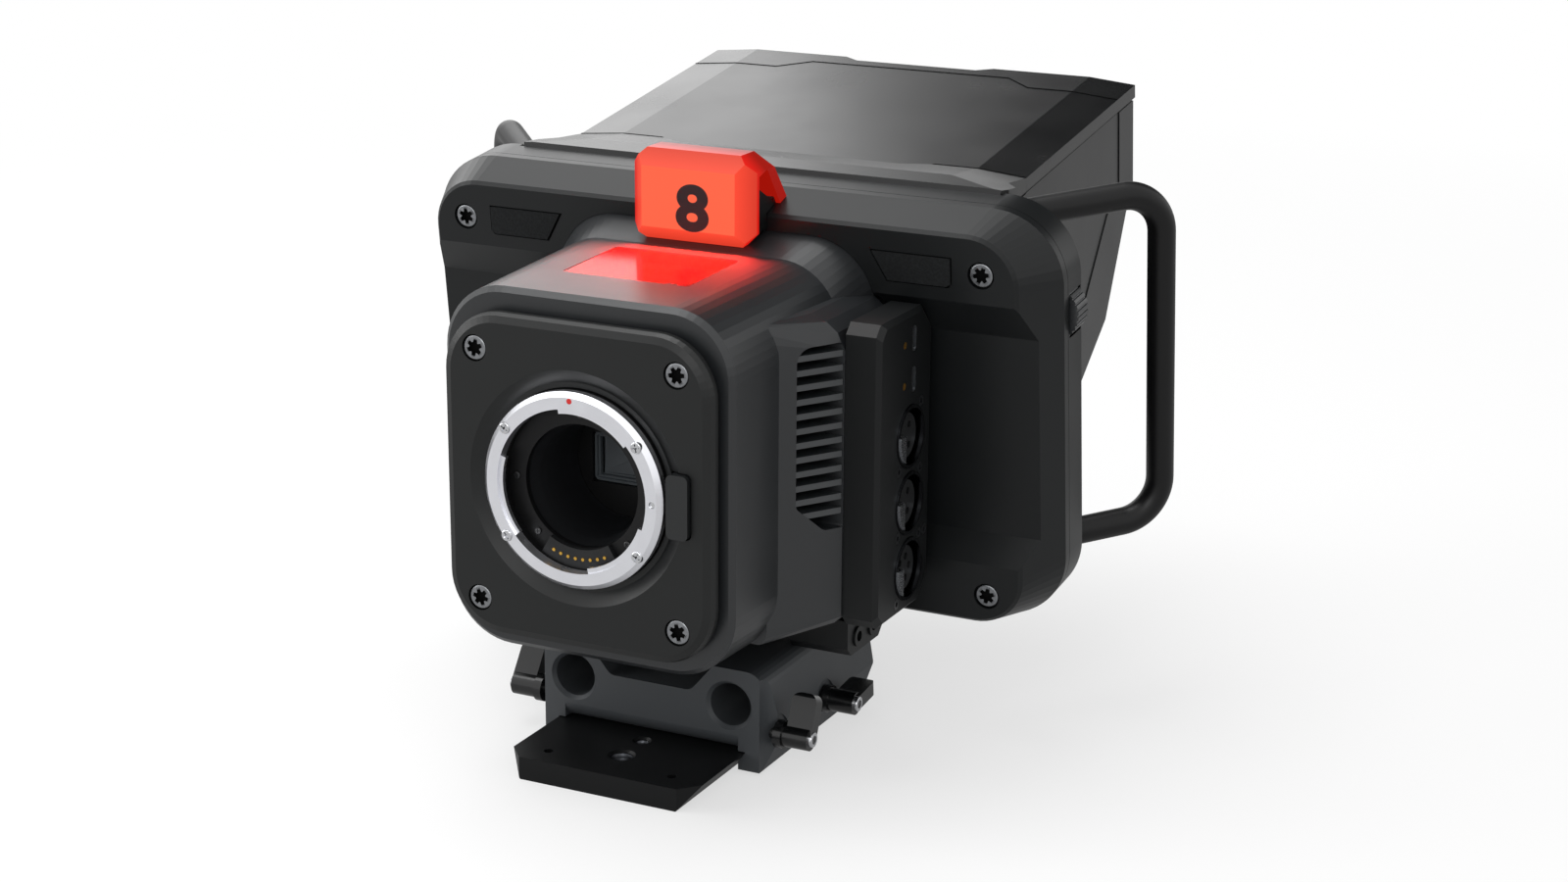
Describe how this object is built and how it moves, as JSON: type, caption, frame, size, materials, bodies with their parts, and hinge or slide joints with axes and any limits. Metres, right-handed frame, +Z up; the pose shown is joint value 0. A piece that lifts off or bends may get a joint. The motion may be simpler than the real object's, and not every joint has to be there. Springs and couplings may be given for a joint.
{
  "type": "studio camera",
  "caption": "Studio camera: a lens block with a bayonet mount and tally lamp ahead of a wide tilted monitor housing with a sun hood, side handles and a rod bracket.",
  "frame": {"origin": "the axis of the larger tripod thread, at the underside of the sliding plate", "axes": "+Z up, -Y the way the lens looks, +X the side with the audio panel"},
  "size_m": [0.2724, 0.2723, 0.2073],
  "materials": {
    "satin_black_plastic": "satin moulded housing, very fine grain",
    "panel_black": "satin moulded panel",
    "hood_plastic": "satin sheet, slightly brushed",
    "matte_black_inner": "flat black inside the throat",
    "mount_steel": "turned stainless steel",
    "steel_screws": "turned steel screw heads and pins",
    "black_screws": "blackened steel",
    "gold_contacts": "gold-plated contacts and nuts",
    "sensor_glass": "coated sensor cover glass",
    "screen_glass": "dark cover glass",
    "gloss_black": "polished black",
    "black_aluminium": "black anodised",
    "socket_steel": "nickel-plated sockets",
    "circuit_board": "green solder mask",
    "mic_rubber": "fine mesh over the microphones",
    "tally_red": "lit translucent red cover",
    "dial_metal": "knurled aluminium",
    "black_button": "satin button",
    "handle_rubber": "soft black coating",
    "knob_black": "moulded knob with a steel hex tip"
  },
  "bodies": {
    "camera": {"front_plate": "satin_black_plastic", "plate_screws": "steel_screws", "lens_mount_ring": "mount_steel", "ring_screws": "steel_screws", "mount_throat": "matte_black_inner", "contact_block": "matte_black_inner", "contact_pins": "gold_contacts", "sensor_frame": "matte_black_inner", "sensor_glass": "sensor_glass", "lens_block": "satin_black_plastic", "top_inlay": "gloss_black", "heat_sink": "black_aluminium", "fan_frame": "matte_black_inner", "main_board": "circuit_board", "audio_panel": "panel_black", "xlr_shells": "black_aluminium", "xlr_inserts": "matte_black_inner", "usb_ports": "socket_steel", "usb_lock_nuts": "gold_contacts", "flange_screws": "black_screws", "jack_block": "panel_black", "video_panel": "panel_black", "video_sockets": "socket_steel", "body_front_shell": "satin_black_plastic", "body_rear_shell": "satin_black_plastic", "body_screws": "steel_screws", "mic_pads": "mic_rubber", "tally_base": "panel_black", "tally_cover": "tally_red", "screen_bezel": "panel_black", "lcd_panel": "gloss_black", "screen_glass": "screen_glass", "hood_front_strip": "hood_plastic", "hood_top": "hood_plastic", "hood_rear_strip": "hood_plastic", "hood_hinge_pins": "steel_screws", "handle_left": "handle_rubber", "handle_right": "handle_rubber", "handle_bosses": "panel_black", "base_bracket": "black_aluminium"},
    "lens_release_button": {"lens_release_button": "black_button"},
    "lens_lock_pin": {"lens_lock_pin": "mount_steel"},
    "fan_rotor": {"fan_rotor": "matte_black_inner"},
    "audio_latch_1": {"xlr_latch_1": "steel_screws"},
    "audio_latch_2": {"xlr_latch_2": "steel_screws"},
    "audio_latch_3": {"xlr_latch_3": "steel_screws"},
    "hood_flap_left": {"hood_flap_left": "hood_plastic"},
    "hood_flap_right": {"hood_flap_right": "hood_plastic"},
    "focus_dial": {"focus_dial": "dial_metal"},
    "brightness_dial": {"brightness_dial": "dial_metal"},
    "contrast_dial": {"contrast_dial": "dial_metal"},
    "menu_button": {"menu_button": "black_button"},
    "display_button": {"display_button": "black_button"},
    "function_button": {"function_button": "black_button"},
    "tripod_plate": {"tripod_plate": "black_aluminium"},
    "clamp_knob_front_right": {"clamp_knob_front_right": "knob_black"},
    "clamp_knob_rear_right": {"clamp_knob_rear_right": "knob_black"},
    "clamp_knob_front_left": {"clamp_knob_front_left": "knob_black"},
    "clamp_knob_rear_left": {"clamp_knob_rear_left": "knob_black"}
  },
  "joints": [
    {"name": "lens_release_press", "type": "slide", "parent": "camera", "child": "lens_release_button", "axis": [0, 1, 0], "range_m": [0, 0.0025], "stiffness_N_per_m": 400},
    {"name": "lens_lock_pin_slide", "type": "slide", "parent": "camera", "child": "lens_lock_pin", "axis": [0, 1, 0], "range_m": [0, 0.0025]},
    {"name": "fan_spin", "type": "hinge", "parent": "camera", "child": "fan_rotor", "pos_m": [0, 0.0378, 0.117], "axis": [0, 1, 0], "continuous": true},
    {"name": "audio_latch_1_press", "type": "slide", "parent": "camera", "child": "audio_latch_1", "axis": [-1, 0, 0], "range_m": [0, 0.0015], "stiffness_N_per_m": 300},
    {"name": "audio_latch_2_press", "type": "slide", "parent": "camera", "child": "audio_latch_2", "axis": [-1, 0, 0], "range_m": [0, 0.0015], "stiffness_N_per_m": 300},
    {"name": "audio_latch_3_press", "type": "slide", "parent": "camera", "child": "audio_latch_3", "axis": [-1, 0, 0], "range_m": [0, 0.0015], "stiffness_N_per_m": 300},
    {"name": "hood_flap_left_fold", "type": "hinge", "parent": "camera", "child": "hood_flap_left", "pos_m": [-0.0854, 0.11542, 0.11389], "axis": [0, 0.1132, -0.9936], "range_deg": [0, 90]},
    {"name": "hood_flap_right_fold", "type": "hinge", "parent": "camera", "child": "hood_flap_right", "pos_m": [0.0854, 0.11224, 0.11353], "axis": [0, -0.1132, 0.9936], "range_deg": [0, 90]},
    {"name": "focus_turn", "type": "hinge", "parent": "camera", "child": "focus_dial", "pos_m": [0.1133, 0.09537, 0.15388], "axis": [0, 0.9936, 0.1132], "continuous": true},
    {"name": "brightness_turn", "type": "hinge", "parent": "camera", "child": "brightness_dial", "pos_m": [-0.1133, 0.09537, 0.15388], "axis": [0, 0.9936, 0.1132], "continuous": true},
    {"name": "contrast_turn", "type": "hinge", "parent": "camera", "child": "contrast_dial", "pos_m": [-0.1133, 0.09831, 0.12804], "axis": [0, 0.9936, 0.1132], "continuous": true},
    {"name": "menu_press", "type": "slide", "parent": "camera", "child": "menu_button", "axis": [0, -0.9936, -0.1132], "range_m": [0, 0.0015], "stiffness_N_per_m": 300},
    {"name": "display_press", "type": "slide", "parent": "camera", "child": "display_button", "axis": [0, -0.9936, -0.1132], "range_m": [0, 0.0015], "stiffness_N_per_m": 300},
    {"name": "function_press", "type": "slide", "parent": "camera", "child": "function_button", "axis": [0, -0.9936, -0.1132], "range_m": [0, 0.0015], "stiffness_N_per_m": 300},
    {"name": "tripod_plate_slide", "type": "slide", "parent": "camera", "child": "tripod_plate", "axis": [0, 1, 0], "range_m": [-0.03, 0.015]},
    {"name": "clamp_knob_front_right_turn", "type": "hinge", "parent": "camera", "child": "clamp_knob_front_right", "pos_m": [0.052, 0.027, 0.0144], "axis": [1, 0, 0], "range_deg": [-90, 90]},
    {"name": "clamp_knob_rear_right_turn", "type": "hinge", "parent": "camera", "child": "clamp_knob_rear_right", "pos_m": [0.052, 0.063, 0.0144], "axis": [1, 0, 0], "range_deg": [-90, 90]},
    {"name": "clamp_knob_front_left_turn", "type": "hinge", "parent": "camera", "child": "clamp_knob_front_left", "pos_m": [-0.052, 0.027, 0.0144], "axis": [1, 0, 0], "range_deg": [-90, 90]},
    {"name": "clamp_knob_rear_left_turn", "type": "hinge", "parent": "camera", "child": "clamp_knob_rear_left", "pos_m": [-0.052, 0.063, 0.0144], "axis": [1, 0, 0], "range_deg": [-90, 90]}
  ],
  "couplings": [
    {"joint": "lens_lock_pin_slide", "follows": "lens_release_press", "ratio": 1}
  ]
}
